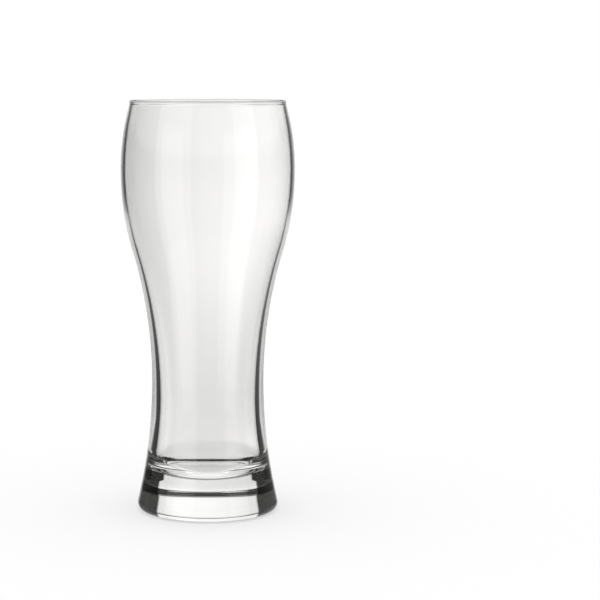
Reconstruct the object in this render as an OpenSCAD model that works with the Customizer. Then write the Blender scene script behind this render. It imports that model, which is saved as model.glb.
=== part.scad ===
// Tall half-litre beer glass with a thick solid foot.
// Two pieces of glass stand one on the other and are fused at a level seam:
// a blown bowl with a waist, and a heavy pressed base.
// Every wall is an exact body of revolution about Z, and the glass stands on z = 0.

/* [Outline] */
// Height over all
height = 200; // [170:1:240]
// Outer diameter of the wall just under the lip
rim_d = 75.2; // [70:0.2:80]
// Largest outer diameter, at the bulge
bulge_d = 84.4; // [82:0.2:92]
// Height of the bulge above the table
bulge_z = 166; // [150:1:166]
// Smallest outer diameter, at the waist
waist_d = 54.5; // [50:0.5:60]
// Height of the waist above the table
waist_z = 64; // [58:1:80]
// Share of the drop from bulge to waist that curves outwards
outward_share = 0.38; // [0.3:0.01:0.6]

/* [Walls] */
// Wall thickness under the lip
rim_wall = 1.4; // [1:0.1:2]
// Wall thickness at the bulge
bulge_wall = 2; // [1.2:0.1:3]
// Difference between the smallest outer and the smallest inner radius
waist_wall = 3.9; // [2.4:0.1:4.6]
// Wall thickness at floor level
heel_wall = 4; // [3:0.1:5]
// How much lower the wall is narrowest inside than outside
inner_drop = 9; // [0:0.5:12]
// Share of the drop from bulge to narrowest place that curves outwards, inside
inner_share = 0.34; // [0.3:0.01:0.6]
// Diameter of the fire-polished bead that ends the wall at the lip
bead_d = 2; // [2:0.1:3]

/* [Floor] */
// Thickness of the bowl's floor, from the seam up to the drinking floor
floor_wall = 2; // [1.5:0.1:8]
// Radius of the curve between the wall and the floor
floor_round = 10.5; // [3:0.5:12]

/* [Base] */
// Height of the fused seam above the table
seam_z = 15.2; // [12:0.1:15.6]
// Outer diameter at the seam
seam_d = 64; // [62:0.2:66]
// Largest diameter of the foot
foot_d = 68.9; // [67:0.1:74]
// Rounding of the foot's lower edge
foot_round = 3.4; // [2:0.1:5]
// Outer diameter of the hollow under the base
hollow_d = 50; // [30:1:54]
// Depth of the hollow under the base
hollow_h = 0.4; // [0.2:0.1:1.2]

/* [Hidden] */
$fn = 180;

rim_r = rim_d / 2;
bulge_r = bulge_d / 2;
waist_r = waist_d / 2;
seam_r = seam_d / 2;
foot_r = foot_d / 2;
bead_r = bead_d / 2;
hollow_r = hollow_d / 2;

// Level of the bead's centre, where the plain wall stops
lip_z = height - bead_r;
// Levels of the drinking floor and of the narrowest place inside
floor_z = seam_z + floor_wall;
waist_in_z = waist_z - inner_drop;

// Inner radii, each one wall inside the outer radius that it follows
rim_in = rim_r - rim_wall;
bulge_in = bulge_r - bulge_wall;
waist_in = waist_r - waist_wall;

// Radius of an arc that leaves (r0, z0) upright and passes through (r1, z1)
function upright_arc_r(r0, z0, r1, z1) =
    (pow(z1 - z0, 2) + pow(r1 - r0, 2)) / (2 * abs(r1 - r0));

// Reach of a circle of radius r at height h above its centre
function reach(r, h) = sqrt(r * r - h * h);

// The lower outward curve, from the waist down to the seam
heel_arc_r = upright_arc_r(waist_r, waist_z, seam_r, seam_z);
// Outer radius at floor level, on that curve
heel_r = waist_r + heel_arc_r - reach(heel_arc_r, waist_z - floor_z);
// The same curve on the inner wall
heel_in = heel_r - heel_wall;
heel_in_arc_r = upright_arc_r(waist_in, waist_in_z, heel_in, floor_z);

// Centre of the floor curve, which touches the floor and the inner wall
round_z = floor_z + floor_round;
round_x = waist_in + heel_in_arc_r - reach(heel_in_arc_r + floor_round, waist_in_z - round_z);
// Where the floor curve and the inner wall touch
touch_share = floor_round / (heel_in_arc_r + floor_round);
touch_x = round_x + (waist_in + heel_in_arc_r - round_x) * touch_share;
touch_z = round_z + (waist_in_z - round_z) * touch_share;

// Centre of the foot's edge rounding, and its distance from the seam's edge
foot_x = foot_r - foot_round;
edge_dx = seam_r - foot_x;
edge_dz = seam_z - foot_round;
edge_reach = sqrt(edge_dx * edge_dx + edge_dz * edge_dz);
// Lean of the straight flank that touches that rounding
flank_lean = atan2(edge_dz, edge_dx) - acos(foot_round / edge_reach);
flank_x = foot_x + foot_round * cos(flank_lean);
flank_z = foot_round + foot_round * sin(flank_lean);

// Radius of the sphere that hollows the underside
hollow_ball_r = upright_arc_r(0, 0, hollow_h, hollow_r);

// Upright strip from the axis out to radius r, between two levels
module strip(r, z0, z1) {
    translate([0, z0])
        square([r, z1 - z0]);
}

// Strip whose edge is one arc: upright and r wide at level z, end_r wide at
// end_z. It swells where end_r is the smaller, is drawn in where it is the
// larger, and stays straight where both are the same.
module curved_strip(r, z, end_r, end_z) {
    low_z = min(z, end_z);
    high_z = max(z, end_z);

    if (end_r < r) {
        swell_r = upright_arc_r(r, z, end_r, end_z);
        intersection() {
            strip(r, low_z, high_z);
            translate([r - swell_r, z])
                circle(r = swell_r);
        }
    } else if (end_r > r) {
        draw_r = upright_arc_r(r, z, end_r, end_z);
        difference() {
            strip(end_r, low_z, high_z);
            translate([r + draw_r, z])
                circle(r = draw_r);
        }
    } else {
        strip(r, low_z, high_z);
    }
}

// Half section of the swelling body that a wall surface encloses, from
// low_z up to the lip; each curve is upright where it meets the next.
// It is narrowest at narrow_z, and turn_share of the drop down to there
// curves outwards
module goblet(lip_r, wide_r, narrow_r, narrow_z, turn_share, low_r, low_z) {
    turn_r = wide_r + (narrow_r - wide_r) * turn_share;
    turn_z = bulge_z + (narrow_z - bulge_z) * turn_share;

    curved_strip(wide_r, bulge_z, lip_r, lip_z);
    curved_strip(wide_r, bulge_z, turn_r, turn_z);
    curved_strip(narrow_r, narrow_z, turn_r, turn_z);
    curved_strip(narrow_r, narrow_z, low_r, low_z);
}

// Half section of the space inside the bowl
module drink_section() {
    goblet(rim_in, bulge_in, waist_in, waist_in_z, inner_share, touch_x, touch_z);
    polygon([[0, floor_z], [round_x, floor_z], [round_x, round_z], [touch_x, touch_z], [0, touch_z]]);
    translate([round_x, round_z])
        circle(r = floor_round);
}

// Half section of the bowl, its wall, floor and lip
module bowl_section() {
    difference() {
        goblet(rim_r, bulge_r, waist_r, waist_z, outward_share, seam_r, seam_z);
        drink_section();
    }
    translate([(rim_r + rim_in) / 2, lip_z])
        circle(r = bead_r);
}

// Half section of the base, with its leaning flank, rounded edge and hollow
module base_section() {
    difference() {
        union() {
            polygon([[0, 0], [foot_x, 0], [foot_x, foot_round], [flank_x, flank_z], [seam_r, seam_z], [0, seam_z]]);
            translate([foot_x, foot_round])
                circle(r = foot_round);
        }
        translate([0, hollow_h - hollow_ball_r])
            circle(r = hollow_ball_r);
    }
}

// Blown bowl: thin drawn wall, rounded lip and floor
module bowl() {
    color([0.86, 0.89, 0.88, 0.55])
        rotate_extrude()
            bowl_section();
}

// Pressed base: the solid foot below the seam
module base() {
    color([0.74, 0.79, 0.77, 0.75])
        rotate_extrude()
            base_section();
}

bowl();
base();
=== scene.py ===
"""Looks of a tall half-litre beer glass, laid out as a Blender add-on.

The glass has two pieces that are fused into one: a blown bowl with a waist, and a
pressed base. Both are turned about the Z axis from one outline, in metres, and the
glass stands on z = 0. The studio round it is a dark room with a bright panel behind
the glass, as is usual for clear glass: the panel fills the middle of the glass with
white, and the dark room draws its edges. The dark sides of the solid foot, a dark
line round the drinking floor and a faint grey on the lip are painted shade in the
glass's colour.
"""

import math

import bpy
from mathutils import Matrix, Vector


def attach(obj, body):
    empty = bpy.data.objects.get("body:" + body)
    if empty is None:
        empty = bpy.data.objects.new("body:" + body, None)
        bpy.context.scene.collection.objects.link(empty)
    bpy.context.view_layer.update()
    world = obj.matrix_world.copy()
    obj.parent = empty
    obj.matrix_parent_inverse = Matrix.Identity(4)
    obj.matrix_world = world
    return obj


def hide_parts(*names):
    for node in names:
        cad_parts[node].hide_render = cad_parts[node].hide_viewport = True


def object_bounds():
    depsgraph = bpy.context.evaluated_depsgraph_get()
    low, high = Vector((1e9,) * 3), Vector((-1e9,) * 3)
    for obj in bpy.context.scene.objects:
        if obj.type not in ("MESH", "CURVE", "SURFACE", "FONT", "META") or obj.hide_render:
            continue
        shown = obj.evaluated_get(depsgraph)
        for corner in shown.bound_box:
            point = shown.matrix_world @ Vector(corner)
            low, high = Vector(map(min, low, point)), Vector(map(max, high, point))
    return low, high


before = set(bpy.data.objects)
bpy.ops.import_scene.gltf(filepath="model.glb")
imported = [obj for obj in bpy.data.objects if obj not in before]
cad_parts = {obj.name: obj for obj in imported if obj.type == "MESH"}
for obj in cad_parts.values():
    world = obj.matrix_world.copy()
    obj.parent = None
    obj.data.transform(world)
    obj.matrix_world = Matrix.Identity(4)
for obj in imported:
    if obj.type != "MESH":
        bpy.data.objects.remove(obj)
CAD_LOW, CAD_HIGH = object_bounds()

bl_info = {
    "name": "Beer Glass",
    "version": (1, 0, 0),
    "blender": (4, 5, 0),
    "location": "3D View > Sidebar > Beer Glass",
    "description": "Makes a tall waisted beer glass, and the studio it is shown in",
    "category": "Add Mesh",
}

MM = 0.001  # one millimetre, in metres
DEGREES = 180.0 / math.pi  # one radian, in degrees
BODY = "root"  # the one CAD body of the glass

# Mesh

# The outline is cut into steps, and turned about the axis in this many more.
TURNS = 288
LONG_STEPS = 40
SHORT_STEPS = 20
# Points that are closer together than this are one.
SAME_PLACE = 0.0001 * MM
# How far the fused faces of the two pieces stay apart, so that they never overlap.
FUSED_GAP = 0.02 * MM

# Glass

GLASS_IOR = 1.5
# The waves that blowing leaves in the bowl: how fine and rough they are, and how much
# longer upright than round the glass.
WAVE_DETAIL = 1.0
WAVE_ROUGHNESS = 0.4
WAVE_STRETCH = 3.0
# The waves in the pressed base: depth and size as a share of those in the bowl.
BASE_WAVE_SHARE = 0.5
BASE_WAVE_STRETCH = 1.0

# The solid foot is darker towards its sides. This is painted shade, which the material
# paints by the direction to the eye, so an exported model can't carry it. The dark starts
# at this cosine of the angle round the glass, over the height above the table.
SHADE_START = (
    (0.0, 0.694), (10.5 * MM, 0.694), (12.5 * MM, 0.66), (17.6 * MM, 0.66),
    (18.6 * MM, 0.725), (22.0 * MM, 0.725),
)
# It fades in over this much to each side.
SHADE_SOFT = 0.02
# Colour of all painted shade in the glass: the foot's sides, the line round the drinking floor and
# the lip's grey.
SHADE_COLOR = (0.0045, 0.0047, 0.0038, 1.0)
# The dark ends at this height, and fades out just below it.
SHADE_TOP = 22.0 * MM
SHADE_FADE = 0.3 * MM
# Only the outer wall has it: outside these radii, and where the upright part of the
# surface's unit normal is below these.
OUTER_WALL = (28.4 * MM, 28.6 * MM)
UPRIGHT_WALL = (0.8, 0.9)
# The least that is left of a squared cosine, so that nothing is divided by zero.
LEAST_SQUARE = 0.01

# A dark line of painted shade round the drinking floor, where its curve turns up, which
# moves with the view: between these heights, inside these radii, and where the cosine
# towards the eye is above these.
# A pair of values is where such a limit starts and ends to show.
LINE_HEIGHTS = (18.0 * MM, 20.2 * MM)
LINE_SOFT = 0.4 * MM
LINE_RADII = (24.0 * MM, 25.0 * MM)
LINE_COSINES = (0.46, 0.54)
LINE_SHARE = 0.97
# The lip, from this far below the top, gets a faint grey of painted shade.
LIP_DEPTH = 2.2 * MM
LIP_SOFT = 0.4 * MM
LIP_SHARE = 0.07

# Studio

# The tables give the studio as the glass shows it. Most of their stops were measured
# from the photo's grey levels, and rounded, which stays an open fault.
# Each stop is a direction and the brightness there, where 1 is white. Azimuth is 0
# straight behind the glass and 180 at the camera, and positive to the right. Elevation
# is 0 level with the table and -90 straight down. Both are in degrees.
# The pale backdrop that shows straight through the bowl, over elevation.
BACKDROP_LEVEL = (
    (-90, 0.9), (-60, 0.88), (-50, 0.83), (-42, 0.75), (-26, 0.75), (-18, 0.78),
    (-13, 0.82), (-11, 0.86), (-8.5, 0.95), (-6, 1.02), (-3.4, 1.02), (-2.6, 0.985),
    (-1.5, 0.93), (90, 0.93),
)
# How much its sides differ over elevation, and how bright they are over the sideways
# part of the direction, which runs from -1 on the left to 1 on the right.
SIDES_SHARE = ((-90, 0.0), (-11, 0.0), (-8.5, 0.45), (-6, 1.0), (90, 1.0))
BACKDROP_SIDES = (
    (-1, 0.95), (-0.3, 0.8), (-0.14, 0.79), (-0.09, 0.82), (-0.05, 0.87), (-0.03, 0.93),
    (0, 1.0), (0.03, 1.04), (0.07, 1.12), (0.2, 1.15), (0.3, 1.15), (1, 1.0),
)
# Its far sides, which the edges of the wall show, over the same part.
FAR_SIDES = (
    (-1, 1.0), (-0.5, 1.0), (-0.36, 1.25), (-0.2, 1.2), (-0.14, 1.03), (-0.11, 1.0),
    (0.11, 1.0), (0.2, 1.12), (0.36, 1.15), (0.5, 1.0), (1, 1.0),
)
# The backdrop seen straight through the solid foot, over elevation and over azimuth.
FOOT_LEVEL = ((-90, 0.88), (-12, 0.88), (-4, 1.0), (90, 1.0))
FOOT_SIDES = (
    (-180, 0.95), (-20, 0.93), (-10, 0.99), (5, 1.03), (8, 1.09), (15, 1.09), (25, 0.97),
    (180, 0.97),
)

# The bright panel behind the glass, over elevation: half of its width in degrees, and
# its brightness.
PANEL_HALF_WIDTH = (
    (-90, 40), (-20, 22), (-16, 24), (-13, 27), (-10, 30), (-8, 22), (-6, 14), (1, 14),
    (5, 31.7), (90, 31.7),
)
PANEL_LEVEL = (
    (-90, 0.9), (-48, 0.9), (-43, 1.1), (-38, 1.0), (-33, 0.4), (-24, 0.3), (-19, 0.5),
    (-16, 0.65), (-12, 0.75), (-9, 0.85), (-6, 1.0), (2, 1.0), (6, 0.04), (90, 0.04),
)
# How far the panel's edge fades to each side, in degrees.
PANEL_SOFT = 1.5
# The glow beside the panel, over elevation: how far from the middle it reaches in
# degrees, and its brightness where it starts.
GLOW_HALF_WIDTH = (
    (-90, 45), (-20, 24), (-16, 29), (-13, 33), (-10, 35), (-8, 33), (-6, 31), (1, 30),
    (5, 32), (90, 32),
)
GLOW_LEVEL = (
    (-90, 0.75), (-44, 0.75), (-38, 0.7), (-33, 0.3), (-24, 0.25), (-19, 0.5),
    (-15, 0.75), (2, 0.75), (6, 0.0), (90, 0.0),
)
# The dark room round the panel, over elevation. It is pale straight below.
ROOM_LEVEL = (
    (-90, 1.0), (-72, 1.0), (-56, 0.78), (-44, 0.7), (-33, 0.5), (-28, 0.04), (90, 0.04),
)
# The bright ring that only the solid foot shows, over elevation and over azimuth.
RING_LEVEL = ((-90, 0.0), (2, 0.0), (6, 1.08), (29, 1.03), (34, 0.45), (90, 0.45))
RING_SIDES = (
    (-180, 0.9), (-60, 0.85), (-30, 0.77), (-14, 0.92), (0, 0.99), (18, 0.99), (30, 0.8),
    (60, 0.85), (180, 0.9),
)
# The pale ceiling that only the bowl shows: it brightens between these elevations.
CEILING_ELEVATIONS = (30.0, 50.0)
CEILING_LEVEL = 0.5
# The dark under the table that only the bowl shows: below this elevation, and further
# round than this azimuth.
UNDER_ELEVATION = -17.0
UNDER_AZIMUTH = 60.0
UNDER_LEVEL = 0.03
# The walls beside the glass, mirrored on its outside: brightness over elevation, and
# how much brighter the right one is than the left, over azimuth.
WALL_LEVEL = ((-90, 0.4), (-14, 0.4), (-6, 0.12), (90, 0.12))
RIGHT_WALL_SHARE = ((0, 1.6), (60, 1.6), (90, 1.0), (180, 1.0))
# The room behind the camera brightens between these azimuths.
FRONT_AZIMUTHS = (105.0, 125.0)
# The softboxes beside the camera: name, side (1 is right), the azimuths where each
# starts and ends, and its brightness at both.
SOFTBOXES = (
    ("left softbox", -1.0, 106.0, 157.0, 0.75, 0.5),
    ("right softbox", 1.0, 109.0, 144.0, 0.7, 0.45),
)
# They reach between these elevations, and their edges fade over this many degrees.
SOFTBOX_ELEVATIONS = (-60.0, 60.0)
SOFTBOX_SOFT = 1.5
# The studio is faintly warm.
STUDIO_COLOR = (1.0, 0.995, 0.982, 1.0)
WHITE = (1.0, 1.0, 1.0, 1.0)

# Light that goes in or out of the glass more often than this has crossed the bowl,
# and light that does so less often has crossed only the solid foot.
FOOT_CROSSINGS = 2.5
# Light that is mirrored more often than this inside the glass is dimmed to this share.
MANY_MIRRORINGS = 2.5
MANY_SHARE = 0.16
# A count of crossings or mirrorings above this is one or more.
ANY = 0.5

# Floor, camera and light paths

FLOOR_SIDES = 96
# How far below the glass the floor lies.
FLOOR_DROP = 0.3 * MM
# How much brighter than white the lit floor comes out, so that none of it is grey.
FLOOR_SPARE = 0.01
SENSOR_WIDTH = 36.0
CLIP_START = 0.01
CLIP_END = 100.0
MOST_BOUNCES = 24
GLOSSY_BOUNCES = 16


# Sizes and colours that a user may change


class GlassShape(bpy.types.PropertyGroup):
    """Sizes of the glass, the same as in the CAD part."""

    height: bpy.props.FloatProperty(
        name="Height",
        description="Height over all",
        default=CAD_HIGH.z,
        min=0.1,
        unit="LENGTH",
    )
    rim_d: bpy.props.FloatProperty(
        name="Rim Diameter",
        description="Outer diameter of the wall just under the lip",
        default=75.2 * MM,
        unit="LENGTH",
    )
    bulge_d: bpy.props.FloatProperty(
        name="Bulge Diameter",
        description="Largest outer diameter",
        default=CAD_HIGH.x - CAD_LOW.x,
        unit="LENGTH",
    )
    bulge_z: bpy.props.FloatProperty(
        name="Bulge Height",
        description="Height of the bulge above the table",
        default=166 * MM,
        unit="LENGTH",
    )
    waist_d: bpy.props.FloatProperty(
        name="Waist Diameter",
        description="Smallest outer diameter",
        default=54.5 * MM,
        unit="LENGTH",
    )
    waist_z: bpy.props.FloatProperty(
        name="Waist Height",
        description="Height of the waist above the table",
        default=64 * MM,
        unit="LENGTH",
    )
    outward_share: bpy.props.FloatProperty(
        name="Outward Share",
        description="Share of the drop from bulge to waist that curves outwards",
        default=0.38,
        min=0.2,
        max=0.7,
        subtype="FACTOR",
    )
    inner_drop: bpy.props.FloatProperty(
        name="Inner Drop",
        description="How much lower the narrowest place is inside than outside",
        default=9 * MM,
        unit="LENGTH",
    )
    inner_share: bpy.props.FloatProperty(
        name="Inner Share",
        description="Share of the inner drop from bulge to narrowest place that curves outwards",
        default=0.34,
        min=0.2,
        max=0.7,
        subtype="FACTOR",
    )
    rim_wall: bpy.props.FloatProperty(
        name="Rim Wall",
        description="Wall thickness under the lip",
        default=1.4 * MM,
        unit="LENGTH",
    )
    bulge_wall: bpy.props.FloatProperty(
        name="Bulge Wall",
        description="Wall thickness at the bulge",
        default=2 * MM,
        unit="LENGTH",
    )
    waist_wall: bpy.props.FloatProperty(
        name="Waist Wall",
        description="Difference between the smallest outer and the smallest inner radius",
        default=3.9 * MM,
        unit="LENGTH",
    )
    heel_wall: bpy.props.FloatProperty(
        name="Heel Wall",
        description="Wall thickness at floor level",
        default=4 * MM,
        unit="LENGTH",
    )
    bead_d: bpy.props.FloatProperty(
        name="Lip Bead",
        description="Diameter of the fire-polished bead that ends the wall at the lip",
        default=2 * MM,
        unit="LENGTH",
    )
    floor_wall: bpy.props.FloatProperty(
        name="Floor Wall",
        description="Thickness of the bowl's floor, from the seam up to the drinking floor",
        default=2 * MM,
        unit="LENGTH",
    )
    floor_round: bpy.props.FloatProperty(
        name="Floor Rounding",
        description="Radius of the curve between wall and floor",
        default=10.5 * MM,
        unit="LENGTH",
    )
    seam_z: bpy.props.FloatProperty(
        name="Seam Height",
        description="Height of the fused seam",
        default=15.2 * MM,
        unit="LENGTH",
    )
    seam_d: bpy.props.FloatProperty(
        name="Seam Diameter",
        description="Outer diameter at the seam",
        default=64 * MM,
        unit="LENGTH",
    )
    foot_d: bpy.props.FloatProperty(
        name="Foot Diameter",
        description="Largest diameter of the foot",
        default=68.9 * MM,
        unit="LENGTH",
    )
    foot_round: bpy.props.FloatProperty(
        name="Foot Rounding",
        description="Rounding of the foot's lower edge",
        default=3.4 * MM,
        unit="LENGTH",
    )
    hollow_d: bpy.props.FloatProperty(
        name="Hollow Diameter",
        description="Outer diameter of the hollow under the base",
        default=50 * MM,
        unit="LENGTH",
    )
    hollow_h: bpy.props.FloatProperty(
        name="Hollow Depth",
        description="Depth of the hollow under the base",
        default=0.4 * MM,
        unit="LENGTH",
    )


class GlassFinish(bpy.types.PropertyGroup):
    """Finish of the blown glass and of the pressed glass."""

    bowl_tint: bpy.props.FloatVectorProperty(
        name="Bowl Tint",
        description="Colour that light keeps on a long way through the bowl",
        default=(0.82, 0.82, 0.81, 1.0),
        size=4,
        min=0.0,
        max=1.0,
        subtype="COLOR",
    )
    bowl_density: bpy.props.FloatProperty(
        name="Bowl Tint Density",
        description="How fast the bowl's tint builds up, per metre",
        default=3.0,
        min=0.0,
    )
    base_tint: bpy.props.FloatVectorProperty(
        name="Base Tint",
        description="Colour that light keeps on a long way through the base",
        default=(0.84, 0.87, 0.83, 1.0),
        size=4,
        min=0.0,
        max=1.0,
        subtype="COLOR",
    )
    base_density: bpy.props.FloatProperty(
        name="Base Tint Density",
        description="How fast the base's tint builds up, per metre",
        default=1.5,
        min=0.0,
    )
    wave_depth: bpy.props.FloatProperty(
        name="Wave Depth",
        description="Depth of the faint waves that blowing leaves in the bowl",
        default=0.006 * MM,
        unit="LENGTH",
    )
    wave_size: bpy.props.FloatProperty(
        name="Wave Size",
        description="Distance between the waves round the bowl",
        default=18 * MM,
        unit="LENGTH",
    )


class StudioSet(bpy.types.PropertyGroup):
    """The studio: floor, light and camera."""

    front_level: bpy.props.FloatProperty(
        name="Front Level",
        description="Brightness of the room behind the camera",
        default=0.12,
        min=0.0,
    )
    light_level: bpy.props.FloatProperty(
        name="Light Level",
        description="Brightness of the soft light on floor and object",
        default=1.0,
        min=0.0,
    )
    floor_color: bpy.props.FloatVectorProperty(
        name="Floor Colour",
        description="Colour of the pale floor",
        default=(0.55, 0.55, 0.55, 1.0),
        size=4,
        min=0.0,
        max=1.0,
        subtype="COLOR",
    )
    floor_radius: bpy.props.FloatProperty(
        name="Floor Radius",
        description="Radius of the round floor",
        default=6.0,
        unit="LENGTH",
    )
    lens: bpy.props.FloatProperty(
        name="Lens",
        description="Focal length of the camera, in millimetres",
        default=117.0,
        min=10.0,
        unit="CAMERA",
    )
    camera_distance: bpy.props.FloatProperty(
        name="Camera Distance",
        description="Level distance from camera to glass",
        default=0.944,
        unit="LENGTH",
    )
    camera_height: bpy.props.FloatProperty(
        name="Camera Height",
        description="Height of the camera above the table",
        default=0.2148,
        unit="LENGTH",
    )
    camera_tilt: bpy.props.FloatProperty(
        name="Camera Tilt",
        description="How far the camera looks down",
        default=math.radians(6.75),
        subtype="ANGLE",
    )
    camera_shift: bpy.props.FloatProperty(
        name="Camera Shift",
        description="Sideways shift that puts the glass left of the middle of the picture",
        default=0.1537,
    )


# The outline of the glass


def arc_radius(along, aside):
    """Radius of an arc that moves aside from its tangent by this much, this far along it."""
    return (along * along + aside * aside) / (2 * aside)


def upright_arc(start, end, steps):
    """Points of an arc, as (radius, height), that is upright at start and passes through end."""
    rise, spread = end[1] - start[1], end[0] - start[0]
    if abs(spread) < SAME_PLACE:
        return [(start[0], start[1] + rise * i / steps) for i in range(steps + 1)]
    arc = arc_radius(rise, spread)
    turn = math.asin(rise / arc)
    angles = [turn * i / steps for i in range(steps + 1)]
    return [(start[0] + arc * (1 - math.cos(a)), start[1] + arc * math.sin(a)) for a in angles]


def round_arc(centre, radius, start, end, steps):
    """Points of an arc round centre, between two angles in radians."""
    angles = [start + (end - start) * i / steps for i in range(steps + 1)]
    return [(centre[0] + radius * math.cos(a), centre[1] + radius * math.sin(a)) for a in angles]


def straight(start, end, steps):
    """Points of a straight line, closer together near its ends so that it shades flat."""
    shares = [(1 - math.cos(math.pi * i / steps)) / 2 for i in range(steps + 1)]
    (radius, height), (end_radius, end_height) = start, end
    run, rise = end_radius - radius, end_height - height
    return [(radius + run * share, height + rise * share) for share in shares]


def join(*runs):
    """One run of points from several that follow each other, without the doubled ends."""
    points = list(runs[0])
    for run in runs[1:]:
        points.extend(run[1:])
    return points


class Section:
    """The half section of the glass, worked out from its sizes as the CAD part does."""

    def __init__(self, shape):
        self.shape = s = shape
        self.lip_z = s.height - s.bead_d / 2
        self.bead = ((s.rim_d - s.rim_wall) / 2, self.lip_z)
        self.outer = (s.rim_d / 2, s.bulge_d / 2, s.waist_d / 2)
        self.inner = tuple(
            r - wall for r, wall in zip(self.outer, (s.rim_wall, s.bulge_wall, s.waist_wall))
        )
        self.seam = (s.seam_d / 2, s.seam_z)
        self.floor_z = s.seam_z + s.floor_wall
        self.inner_waist_z = s.waist_z - s.inner_drop
        self.set_floor()
        self.set_foot()

    def set_floor(self):
        """The floor curve, which touches the floor and the inner wall."""
        s = self.shape
        waist_r, waist_in = self.outer[2], self.inner[2]
        arc = arc_radius(s.waist_z - s.seam_z, self.seam[0] - waist_r)
        heel_r = waist_r + arc - math.sqrt(arc * arc - (s.waist_z - self.floor_z) ** 2)
        arc = arc_radius(self.inner_waist_z - self.floor_z, heel_r - s.heel_wall - waist_in)
        round_z = self.floor_z + s.floor_round
        reach = arc + s.floor_round
        round_x = waist_in + arc - math.sqrt(reach * reach - (self.inner_waist_z - round_z) ** 2)
        share = s.floor_round / reach
        self.round = (round_x, round_z)
        self.touch = (
            round_x + (waist_in + arc - round_x) * share,
            round_z + (self.inner_waist_z - round_z) * share,
        )

    def set_foot(self):
        """The foot's rounded edge and the flank that touches it."""
        s = self.shape
        self.foot = (s.foot_d / 2 - s.foot_round, s.foot_round)
        across, up = self.seam[0] - self.foot[0], self.seam[1] - self.foot[1]
        self.flank_lean = math.atan2(up, across) - math.acos(s.foot_round / math.hypot(across, up))

    def wall(self, radii, narrow_z, share, low):
        """A wall surface from its low end up to the lip.

        Each curve is upright where it meets the next. radii are those at the lip, the
        bulge and the narrowest place, and share is the share of the drop between the
        last two that curves outwards.
        """
        lip_r, wide_r, narrow_r = radii
        waist, bulge, lip = (narrow_r, narrow_z), (wide_r, self.shape.bulge_z), (lip_r, self.lip_z)
        turn = tuple(b + (w - b) * share for b, w in zip(bulge, waist))
        return join(
            upright_arc(waist, low, LONG_STEPS)[::-1],
            upright_arc(waist, turn, LONG_STEPS),
            upright_arc(bulge, turn, LONG_STEPS)[::-1],
            upright_arc(bulge, lip, LONG_STEPS),
        )

    def to_bead(self, wall):
        """The part of a wall below the lip's bead, up to where the two meet."""
        bead_r = self.shape.bead_d / 2
        kept = []
        for point in wall:
            away = math.dist(point, self.bead)
            if away < bead_r:
                last = kept[-1]
                share = (math.dist(last, self.bead) - bead_r) / (math.dist(last, self.bead) - away)
                kept.append(tuple(a + (b - a) * share for a, b in zip(last, point)))
                break
            kept.append(point)
        return kept

    def bowl(self):
        """The bowl's outline, from the middle of the seam round the lip to the floor's middle.

        With it come its creases, and how many of its steps lie in the seam.
        """
        s = self.shape
        outer = self.to_bead(self.wall(self.outer, s.waist_z, s.outward_share, self.seam))
        inner = self.to_bead(self.wall(self.inner, self.inner_waist_z, s.inner_share, self.touch))
        start, end = (
            math.atan2(p[1] - self.bead[1], p[0] - self.bead[0]) for p in (outer[-1], inner[-1])
        )
        bead = round_arc(self.bead, s.bead_d / 2, start, end + 2 * math.pi, SHORT_STEPS)
        lean = math.atan2(self.touch[1] - self.round[1], self.touch[0] - self.round[0])
        floor_curve = round_arc(self.round, s.floor_round, lean, -math.pi / 2, SHORT_STEPS)
        seam_face = straight((0, self.seam[1]), self.seam, SHORT_STEPS)
        floor = straight((self.round[0], self.floor_z), (0, self.floor_z), SHORT_STEPS)
        creases = [self.seam, outer[-1], inner[-1]]
        points = join(seam_face, outer, bead, inner[::-1], floor_curve, floor)
        return points, creases, len(seam_face) - 1

    def base(self):
        """The base's outline, from the middle of the seam round the foot to the hollow's middle.

        With it come its creases, and how many of its steps lie in the seam.
        """
        s = self.shape
        top_z = self.seam[1] - FUSED_GAP
        edge = (self.seam[0], top_z)
        foot_curve = round_arc(self.foot, s.foot_round, self.flank_lean, -math.pi / 2, SHORT_STEPS)
        flank = straight(edge, foot_curve[0], SHORT_STEPS)
        hollow_r = s.hollow_d / 2
        ball_r = arc_radius(hollow_r, s.hollow_h)
        ring = straight(foot_curve[-1], (hollow_r, 0), SHORT_STEPS)
        ball_centre = (0, s.hollow_h - ball_r)
        edge_angle = math.acos(hollow_r / ball_r)
        hollow = round_arc(ball_centre, ball_r, edge_angle, math.pi / 2, SHORT_STEPS)
        seam_face = straight((0, top_z), edge, SHORT_STEPS)
        creases = [edge, (hollow_r, 0)]
        points = join(seam_face, flank, foot_curve, ring, hollow)
        return points, creases, len(seam_face) - 1


def ring_faces(low, high):
    """Faces between two rings of vertices. A ring of one vertex lies on the axis."""
    faces = []
    for i in range(TURNS):
        j = (i + 1) % TURNS
        if len(low) == 1:
            faces.append((low[0], high[j], high[i]))
        elif len(high) == 1:
            faces.append((low[i], low[j], high[0]))
        else:
            faces.append((low[i], low[j], high[j], high[i]))
    return faces


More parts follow.
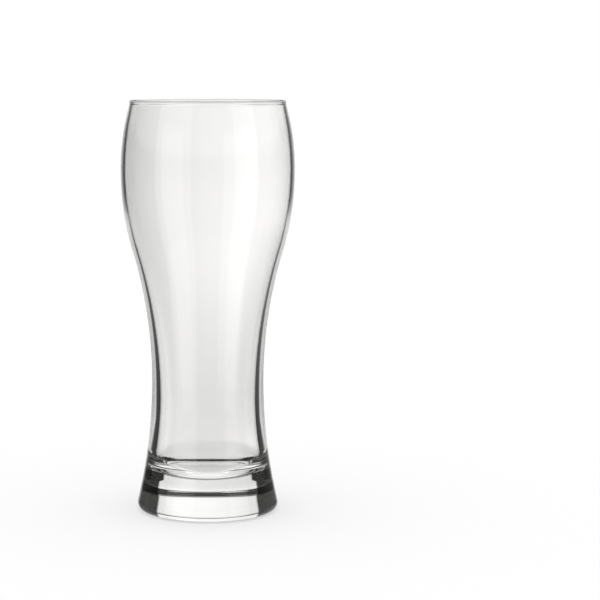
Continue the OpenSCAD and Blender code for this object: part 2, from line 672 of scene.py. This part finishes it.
def turned(name, points, creases, fused_rows):
    """A closed piece turned about Z from its outline.

    The outline is sharp at creases. The first rows of faces, as many as fused_rows,
    are the fused seam's and get the second material.
    """
    runs_down = sum(a[0] * b[1] - b[0] * a[1] for a, b in zip(points, points[1:])) < 0
    verts, rings = [], []
    for radius, height in points:
        if radius < SAME_PLACE:
            rings.append([len(verts)])
            verts.append((0.0, 0.0, height))
            continue
        rings.append(list(range(len(verts), len(verts) + TURNS)))
        for i in range(TURNS):
            angle = 2 * math.pi * i / TURNS
            verts.append((radius * math.cos(angle), radius * math.sin(angle), height))
    rows = [ring_faces(low, high) for low, high in zip(rings, rings[1:])]
    faces = [face for row in rows for face in row]
    slots = [int(k < fused_rows) for k, row in enumerate(rows) for _ in row]
    if runs_down:
        faces = [face[::-1] for face in faces]
    mesh = bpy.data.meshes.new(name)
    mesh.from_pydata(verts, [], faces)
    mesh.polygons.foreach_set("material_index", slots)
    mesh.shade_smooth()
    ring_of = {v: k for k, ring in enumerate(rings) for v in ring}
    sharp = {
        k for k, p in enumerate(points) if any(math.dist(p, c) < SAME_PLACE for c in creases)
    }
    for edge in mesh.edges:
        a, b = (ring_of[v] for v in edge.vertices)
        edge.use_edge_sharp = a == b and a in sharp
    mesh.validate()
    mesh.update()
    piece = bpy.data.objects.new(name, mesh)
    bpy.context.scene.collection.objects.link(piece)
    return piece


# Nodes


class Tree:
    """A node tree with short ways to add nodes and join them."""

    def __init__(self, tree):
        self.tree = tree
        tree.nodes.clear()

    def add(self, kind, label="", **settings):
        """A new node. Settings name its properties."""
        node = self.tree.nodes.new(kind)
        node.label = label
        for name, value in settings.items():
            setattr(node, name, value)
        return node

    def put(self, socket, value):
        """Links a socket to another one, or sets its number."""
        if isinstance(value, bpy.types.NodeSocket):
            self.tree.links.new(value, socket)
        else:
            socket.default_value = value

    def math(self, operation, *values, label=""):
        """The result of a math node."""
        node = self.add("ShaderNodeMath", label, operation=operation)
        for socket, value in zip(node.inputs, values):
            self.put(socket, value)
        return node.outputs[0]

    def product(self, first, *others, label=""):
        """The product of several values, such as masks."""
        result = first
        for value in others:
            result = self.math("MULTIPLY", result, value, label=label)
        return result

    def largest(self, first, *others, label=""):
        """The largest of several values."""
        result = first
        for value in others:
            result = self.math("MAXIMUM", result, value, label=label)
        return result

    def opposite(self, value, label=""):
        """What value lacks to 1."""
        return self.math("SUBTRACT", 1.0, value, label=label)

    def blend(self, share, first, second):
        """first where share is 0, second where it is 1."""
        node = self.add("ShaderNodeMix")
        sockets = (node.inputs[0], node.inputs[2], node.inputs[3])
        for socket, value in zip(sockets, (share, first, second)):
            self.put(socket, value)
        return node.outputs[0]

    def ramp(self, value, low, high, start=0.0, end=1.0, label="", smooth=True):
        """value carried from the range low to high into start to end, and held there."""
        kind = "SMOOTHSTEP" if smooth else "LINEAR"
        node = self.add("ShaderNodeMapRange", label, interpolation_type=kind)
        for socket, number in zip(node.inputs, (value, low, high, start, end)):
            self.put(socket, number)
        return node.outputs[0]

    def window(self, value, low, high, soft, label=""):
        """1 where value is between low and high, 0 outside, with soft edges."""
        above = self.ramp(value, low - soft / 2, low + soft / 2)
        below = self.ramp(value, high - soft / 2, high + soft / 2, 1.0, 0.0)
        return self.math("MULTIPLY", above, below, label=label)

    def curve(self, value, points, label):
        """The height at value of a line through points, which are (value, height)."""
        low, high = points[0][0], points[-1][0]
        tallest = max(height for _, height in points)
        node = self.add("ShaderNodeValToRGB", label)
        stops = node.color_ramp.elements
        stops.remove(stops[0])
        for i, (at, height) in enumerate(points):
            place = (at - low) / (high - low)
            stop = stops[0] if i == 0 else stops.new(place)
            stop.position = place
            stop.color = (height / tallest,) * 3 + (1.0,)
        self.put(node.inputs[0], self.ramp(value, low, high, label=label, smooth=False))
        return self.math("MULTIPLY", node.outputs[0], tallest, label=label)


def new_material(name):
    """A material with an empty node tree: the material, the tree and its output."""
    material = bpy.data.materials.new(name)
    material.use_nodes = True
    tree = Tree(material.node_tree)
    return material, tree, tree.add("ShaderNodeOutputMaterial")


# Materials


def waves(tree, depth, size, stretch):
    """Normal of a surface with faint waves, longer upright than round the glass."""
    place = tree.add("ShaderNodeTexCoord", "Place on the glass")
    mapping = tree.add("ShaderNodeMapping", "Stretched upright")
    mapping.inputs["Scale"].default_value = (1.0, 1.0, 1.0 / stretch)
    tree.put(mapping.inputs["Vector"], place.outputs["Object"])
    noise = tree.add("ShaderNodeTexNoise", "Waves")
    tree.put(noise.inputs["Vector"], mapping.outputs[0])
    noise.inputs["Scale"].default_value = 1.0 / size
    noise.inputs["Detail"].default_value = WAVE_DETAIL
    noise.inputs["Roughness"].default_value = WAVE_ROUGHNESS
    bump = tree.add("ShaderNodeBump", "Faint waves")
    bump.inputs["Strength"].default_value = 1.0
    bump.inputs["Distance"].default_value = depth
    tree.put(bump.inputs["Height"], noise.outputs["Fac"])
    return bump.outputs[0]


def cosine_round(tree, towards, lean):
    """Cosine of the angle round the glass between the wall and the eye.

    It is 1 where the wall is nearest to the eye and 0 at its sides, from any height.
    towards is the cosine of the whole angle, and lean is the upright part of the normal.
    """
    axis = tree.add("ShaderNodeCombineXYZ", "Axis of the glass")
    axis.inputs[2].default_value = 1.0
    upright = tree.add("ShaderNodeLayerWeight", "Looking down")
    tree.put(upright.inputs["Normal"], axis.outputs[0])
    down = tree.opposite(upright.outputs["Facing"])
    cosine = tree.math("SUBTRACT", towards, tree.product(lean, down))
    for part in (lean, down):
        level_square = tree.largest(tree.opposite(tree.product(part, part)), LEAST_SQUARE)
        cosine = tree.math("DIVIDE", cosine, tree.math("SQRT", level_square))
    return cosine


def shaded_glass(tree, height):
    """Colour of the glass: clear, but for painted shade in three places.

    These are the sides of the solid foot, a line round the drinking floor, and faintly
    the lip. The first two are painted by the direction to the eye and move with the
    view, which stays an open fault. height is the height of the glass.
    """
    facing = tree.add("ShaderNodeLayerWeight", "Facing the eye")
    towards = tree.opposite(facing.outputs["Facing"])
    surface = tree.add("ShaderNodeNewGeometry")
    normal = tree.add("ShaderNodeSeparateXYZ", "Normal")
    tree.put(normal.inputs[0], surface.outputs["Normal"])
    lean = normal.outputs[2]
    place = tree.add("ShaderNodeTexCoord")
    spot = tree.add("ShaderNodeSeparateXYZ", "Place on the glass")
    tree.put(spot.inputs[0], place.outputs["Object"])
    across, along, z = spot.outputs
    square = tree.math("ADD", tree.product(across, across), tree.product(along, along))
    radius = tree.math("SQRT", square, label="Radius")

    # Painted shade on the sides of the solid foot, by the angle round the glass to the eye.
    start = tree.curve(z, SHADE_START, "Where the dark starts")
    low, high = (tree.math(way, start, SHADE_SOFT) for way in ("SUBTRACT", "ADD"))
    sides = tree.product(
        tree.ramp(cosine_round(tree, towards, lean), low, high, 1.0, 0.0, "Towards the side"),
        tree.ramp(z, SHADE_TOP - SHADE_FADE, SHADE_TOP, 1.0, 0.0, "In the foot"),
        tree.ramp(radius, *OUTER_WALL, label="Outer wall"),
        tree.ramp(tree.math("ABSOLUTE", lean), *UPRIGHT_WALL, 1.0, 0.0, "Not the underside"),
    )
    # A dark line of painted shade round the drinking floor, seen from inside the bowl.
    line = tree.product(
        tree.window(z, *LINE_HEIGHTS, LINE_SOFT, "Curve round the floor"),
        LINE_SHARE,
        tree.ramp(radius, *LINE_RADII, 1.0, 0.0, "Inside the bowl"),
        tree.ramp(towards, *LINE_COSINES, label="Turned to the eye"),
        tree.opposite(surface.outputs["Backfacing"], "Seen from inside the bowl"),
    )
    # A faint grey of painted shade on the lip.
    lip_z = height - LIP_DEPTH
    lip = tree.ramp(z, lip_z, lip_z + LIP_SOFT, 0.0, LIP_SHARE, "Lip")

    # White glass, mixed towards the painted shade colour by the largest of the three masks.
    color = tree.add("ShaderNodeMix", "Painted shade", data_type="RGBA")
    tree.put(color.inputs[0], tree.largest(sides, line, lip))
    color.inputs[6].default_value = WHITE
    color.inputs[7].default_value = SHADE_COLOR
    return color.outputs[2]


def clear_glass(name, tint, height, wave_depth, wave_size, wave_stretch):
    """Polished clear glass with faint waves, painted shade in its colour, and a tint that grows
    with the way through it.
    """
    material, tree, out = new_material(name)
    shader = tree.add("ShaderNodeBsdfPrincipled", "Glass")
    tree.put(shader.inputs["Base Color"], shaded_glass(tree, height))
    shader.inputs["Roughness"].default_value = 0.0
    shader.inputs["IOR"].default_value = GLASS_IOR
    shader.inputs["Transmission Weight"].default_value = 1.0
    tree.put(shader.inputs["Normal"], waves(tree, wave_depth, wave_size, wave_stretch))
    tree.put(out.inputs["Surface"], shader.outputs[0])
    add_tint(tree, out, *tint)
    return material


def fused_glass(name, tint):
    """The seam inside the glass, where light passes between the pieces as if there were none."""
    material, tree, out = new_material(name)
    shader = tree.add("ShaderNodeBsdfTransparent", "No surface")
    tree.put(out.inputs["Surface"], shader.outputs[0])
    add_tint(tree, out, *tint)
    return material


def add_tint(tree, out, color, density):
    """Absorption inside a piece of glass."""
    body = tree.add("ShaderNodeVolumeAbsorption", "Tint")
    body.inputs["Color"].default_value = color
    body.inputs["Density"].default_value = density
    tree.put(out.inputs["Volume"], body.outputs[0])


# The studio


class Ray:
    """The light that the studio is asked for: where it points, and its way so far."""

    def __init__(self, tree):
        place = tree.add("ShaderNodeTexCoord", "Direction")
        axes = tree.add("ShaderNodeSeparateXYZ")
        tree.put(axes.inputs[0], place.outputs["Generated"])
        self.sideways, ahead, up = axes.outputs
        turn = tree.math("ARCTAN2", self.sideways, ahead)
        self.azimuth = tree.product(turn, DEGREES, label="Azimuth")
        self.away = tree.math("ABSOLUTE", self.azimuth)
        self.elevation = tree.product(tree.math("ARCSINE", up), DEGREES, label="Elevation")

        path = tree.add("ShaderNodeLightPath")
        crossed, mirrored = path.outputs["Transmission Depth"], path.outputs["Glossy Depth"]
        self.in_bowl = tree.math("GREATER_THAN", crossed, FOOT_CROSSINGS, label="In the bowl")
        self.outside = tree.math("LESS_THAN", crossed, ANY, label="Mirrored outside")
        self.turned = tree.math("GREATER_THAN", mirrored, ANY, label="Turned or mirrored")
        self.many = tree.math("GREATER_THAN", mirrored, MANY_MIRRORINGS, label="Many times")
        kinds = (path.outputs["Is Transmission Ray"], path.outputs["Is Glossy Ray"])
        self.in_glass = tree.largest(*kinds, label="Seen in the glass")


def backdrop_light(tree, ray):
    """The pale backdrop, seen straight through the bowl or the foot."""
    bowl = tree.product(
        tree.curve(ray.elevation, BACKDROP_LEVEL, "Brightness of the backdrop"),
        tree.blend(
            tree.curve(ray.elevation, SIDES_SHARE, "How much the sides differ"),
            1.0,
            tree.curve(ray.sideways, BACKDROP_SIDES, "Brighter on the right"),
        ),
        tree.curve(ray.sideways, FAR_SIDES, "Far sides"),
    )
    foot = tree.product(
        tree.curve(ray.elevation, FOOT_LEVEL, "Backdrop seen through the foot"),
        tree.curve(ray.azimuth, FOOT_SIDES, "Its sides"),
    )
    return tree.blend(ray.in_bowl, foot, bowl)


def panel_light(tree, ray):
    """The bright panel behind the glass, and the glow beside it."""
    half = tree.curve(ray.elevation, PANEL_HALF_WIDTH, "Half width of the panel")
    reach = tree.curve(ray.elevation, GLOW_HALF_WIDTH, "Reach of its glow")
    beyond = tree.math("SUBTRACT", ray.away, half)
    share = tree.math("DIVIDE", beyond, tree.math("SUBTRACT", reach, half))
    panel = tree.product(
        tree.ramp(beyond, -PANEL_SOFT, PANEL_SOFT, 1.0, 0.0, "Panel"),
        tree.curve(ray.elevation, PANEL_LEVEL, "Brightness of the panel"),
    )
    glow = tree.product(
        tree.ramp(share, 0.0, 1.0, 1.0, 0.0, "Glow", smooth=False),
        tree.curve(ray.elevation, GLOW_LEVEL, "Brightness of the glow"),
    )
    return tree.largest(panel, glow)


def room_light(tree, ray):
    """The dark room, which light that is turned inside the glass shows round the panel."""
    ring = tree.product(
        tree.curve(ray.elevation, RING_LEVEL, "Ring seen in the foot"),
        tree.curve(ray.azimuth, RING_SIDES, "Sides of the ring"),
    )
    ceiling = tree.ramp(ray.elevation, *CEILING_ELEVATIONS, 0.0, CEILING_LEVEL, "Ceiling")
    return tree.largest(
        tree.curve(ray.elevation, ROOM_LEVEL, "Room"), tree.blend(ray.in_bowl, ring, ceiling)
    )


def wall_light(tree, ray):
    """The walls beside the glass, which its outside mirrors."""
    right = tree.math("GREATER_THAN", ray.azimuth, 0.0, label="On the right")
    share = tree.curve(ray.away, RIGHT_WALL_SHARE, "Right wall")
    walls = tree.curve(ray.elevation, WALL_LEVEL, "Walls beside the glass")
    return tree.product(walls, tree.blend(right, 1.0, share))


def softbox_light(tree, ray):
    """The softboxes beside the camera."""
    height = tree.window(ray.elevation, *SOFTBOX_ELEVATIONS, 2 * SOFTBOX_SOFT)
    light = 0.0
    for name, side, start, end, first, last in SOFTBOXES:
        azimuth = tree.product(ray.azimuth, side)
        box = tree.product(
            tree.window(azimuth, start, end, SOFTBOX_SOFT),
            height,
            tree.ramp(azimuth, start, end, first, last, name, smooth=False),
        )
        light = tree.math("ADD", light, box, label=name)
    return light


def studio_light(tree, ray, front_level):
    """Brightness of the studio in the glass.

    Light that goes straight through shows the pale backdrop. Light that is turned
    inside the glass shows a dark room with a bright panel. Light that is mirrored on
    the outside shows the panel, walls and softboxes.
    """
    panel = panel_light(tree, ray)
    front = tree.ramp(ray.away, *FRONT_AZIMUTHS, 0.0, front_level, "Behind the camera")
    inside = tree.largest(room_light(tree, ray), panel, front)
    outside = tree.largest(wall_light(tree, ray), panel, front)
    light = tree.math("ADD", softbox_light(tree, ray), tree.blend(ray.outside, inside, outside))
    under = tree.product(
        ray.in_bowl,
        tree.math("LESS_THAN", ray.elevation, UNDER_ELEVATION),
        tree.math("GREATER_THAN", ray.away, UNDER_AZIMUTH),
        label="Under the table",
    )
    light = tree.blend(under, light, UNDER_LEVEL)
    light = tree.product(light, tree.blend(ray.many, 1.0, MANY_SHARE))
    return tree.blend(ray.turned, backdrop_light(tree, ray), light)


def make_world(studio):
    """The studio round the glass. Floor and background get plain soft light from it."""
    world = bpy.data.worlds.new("Studio")
    bpy.context.scene.world = world
    world.use_nodes = True
    tree = Tree(world.node_tree)
    ray = Ray(tree)
    seen = tree.add("ShaderNodeBackground", "Studio seen in the glass")
    seen.inputs["Color"].default_value = STUDIO_COLOR
    tree.put(seen.inputs["Strength"], studio_light(tree, ray, studio.front_level))
    plain = tree.add("ShaderNodeBackground", "Plain soft light")
    plain.inputs["Color"].default_value = WHITE
    plain.inputs["Strength"].default_value = studio.light_level
    mix = tree.add("ShaderNodeMixShader", "Seen in the glass")
    for socket, value in zip(mix.inputs, (ray.in_glass, plain.outputs[0], seen.outputs[0])):
        tree.put(socket, value)
    out = tree.add("ShaderNodeOutputWorld")
    tree.put(out.inputs["Surface"], mix.outputs[0])


def floor_material(studio):
    """Pale matt floor that comes out white to the camera where no shadow falls."""
    material, tree, out = new_material("Pale floor")
    matt = tree.add("ShaderNodeBsdfDiffuse", "Matt floor")
    matt.inputs["Color"].default_value = studio.floor_color
    glow = tree.add("ShaderNodeEmission", "Lift to white")
    path = tree.add("ShaderNodeLightPath")
    lift = 1.0 - studio.floor_color[0] * studio.light_level + FLOOR_SPARE
    tree.put(glow.inputs["Strength"], tree.product(path.outputs["Is Camera Ray"], lift))
    both = tree.add("ShaderNodeAddShader")
    tree.put(both.inputs[0], matt.outputs[0])
    tree.put(both.inputs[1], glow.outputs[0])
    tree.put(out.inputs["Surface"], both.outputs[0])
    return material


def make_floor(studio):
    """A round floor just under the glass. The glass shows the studio instead of it."""
    radius = studio.floor_radius
    angles = [2 * math.pi * i / FLOOR_SIDES for i in range(FLOOR_SIDES)]
    verts = [(radius * math.cos(a), radius * math.sin(a), -FLOOR_DROP) for a in angles]
    mesh = bpy.data.meshes.new("floor")
    mesh.from_pydata(verts, [], [tuple(range(FLOOR_SIDES))])
    mesh.materials.append(floor_material(studio))
    floor = bpy.data.objects.new("floor", mesh)
    bpy.context.scene.collection.objects.link(floor)
    floor.visible_transmission = False
    floor.visible_glossy = False


def make_camera(studio):
    """The camera in front of the glass, where the photograph was taken from."""
    data = bpy.data.cameras.new("Camera")
    camera = bpy.data.objects.new("Camera", data)
    bpy.context.scene.collection.objects.link(camera)
    data.lens = studio.lens
    data.sensor_width = SENSOR_WIDTH
    data.shift_x = studio.camera_shift
    data.clip_start = CLIP_START
    data.clip_end = CLIP_END
    camera.location = (0.0, -studio.camera_distance, studio.camera_height)
    camera.rotation_euler = (math.pi / 2 - studio.camera_tilt, 0.0, 0.0)
    bpy.context.scene.camera = camera


def set_light_paths():
    """Enough bounces for light to find its way through both walls and the base."""
    cycles = bpy.context.scene.cycles
    cycles.max_bounces = MOST_BOUNCES
    cycles.transmission_bounces = MOST_BOUNCES
    cycles.transparent_max_bounces = MOST_BOUNCES
    cycles.glossy_bounces = GLOSSY_BOUNCES


# Operators and panel


def finish_piece(piece, node, glass, seam):
    """Gives a piece its two materials, puts it on the CAD body and lets it stand for its node."""
    piece.data.materials.append(glass)
    piece.data.materials.append(seam)
    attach(piece, BODY)
    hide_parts(node)


class BEERGLASS_OT_make_bowl(bpy.types.Operator):
    """Make the blown bowl: wall, floor and fire-polished lip"""

    bl_idname = "beer_glass.make_bowl"
    bl_label = "Make Bowl"

    def execute(self, context):
        shape, finish = context.scene.glass_shape, context.scene.glass_finish
        piece = turned("glass_bowl", *Section(shape).bowl())
        tint = (finish.bowl_tint, finish.bowl_density)
        wave_sizes = (finish.wave_depth, finish.wave_size)
        glass = clear_glass("Blown glass", tint, shape.height, *wave_sizes, WAVE_STRETCH)
        finish_piece(piece, "bowl", glass, fused_glass("Fused seam of the bowl", tint))
        return {"FINISHED"}


class BEERGLASS_OT_make_base(bpy.types.Operator):
    """Make the pressed base: the solid foot with its flank, rounded edge and hollow"""

    bl_idname = "beer_glass.make_base"
    bl_label = "Make Base"

    def execute(self, context):
        shape, finish = context.scene.glass_shape, context.scene.glass_finish
        piece = turned("glass_base", *Section(shape).base())
        tint = (finish.base_tint, finish.base_density)
        wave_sizes = (size * BASE_WAVE_SHARE for size in (finish.wave_depth, finish.wave_size))
        glass = clear_glass("Pressed glass", tint, shape.height, *wave_sizes, BASE_WAVE_STRETCH)
        finish_piece(piece, "base", glass, fused_glass("Fused seam of the base", tint))
        return {"FINISHED"}


class BEERGLASS_OT_set_stage(bpy.types.Operator):
    """Set the stage: pale floor, soft studio light and camera"""

    bl_idname = "beer_glass.set_stage"
    bl_label = "Set Stage"

    def execute(self, context):
        studio = context.scene.glass_studio
        make_floor(studio)
        make_world(studio)
        make_camera(studio)
        set_light_paths()
        context.scene.view_settings.view_transform = "Standard"
        return {"FINISHED"}


class BEERGLASS_PT_panel(bpy.types.Panel):
    """Sizes, finish and studio of the beer glass"""

    bl_label = "Beer Glass"
    bl_idname = "BEERGLASS_PT_panel"
    bl_space_type = "VIEW_3D"
    bl_region_type = "UI"
    bl_category = "Beer Glass"

    def draw(self, context):
        scene = context.scene
        for group in (scene.glass_shape, scene.glass_finish, scene.glass_studio):
            box = self.layout.box()
            for name in group.__annotations__:
                box.prop(group, name)
        for operator in OPERATORS:
            self.layout.operator(operator.bl_idname)


OPERATORS = (BEERGLASS_OT_make_bowl, BEERGLASS_OT_make_base, BEERGLASS_OT_set_stage)
CLASSES = (GlassShape, GlassFinish, StudioSet, *OPERATORS, BEERGLASS_PT_panel)


def register():
    """Makes the classes known to Blender."""
    for cls in CLASSES:
        bpy.utils.register_class(cls)
    bpy.types.Scene.glass_shape = bpy.props.PointerProperty(type=GlassShape)
    bpy.types.Scene.glass_finish = bpy.props.PointerProperty(type=GlassFinish)
    bpy.types.Scene.glass_studio = bpy.props.PointerProperty(type=StudioSet)


def unregister():
    """Takes the classes away again."""
    del bpy.types.Scene.glass_shape
    del bpy.types.Scene.glass_finish
    del bpy.types.Scene.glass_studio
    for cls in reversed(CLASSES):
        bpy.utils.unregister_class(cls)


def main():
    """Makes the glass and its studio."""
    register()
    bpy.ops.beer_glass.make_bowl()
    bpy.ops.beer_glass.make_base()
    bpy.ops.beer_glass.set_stage()


if __name__ == "__main__":
    main()
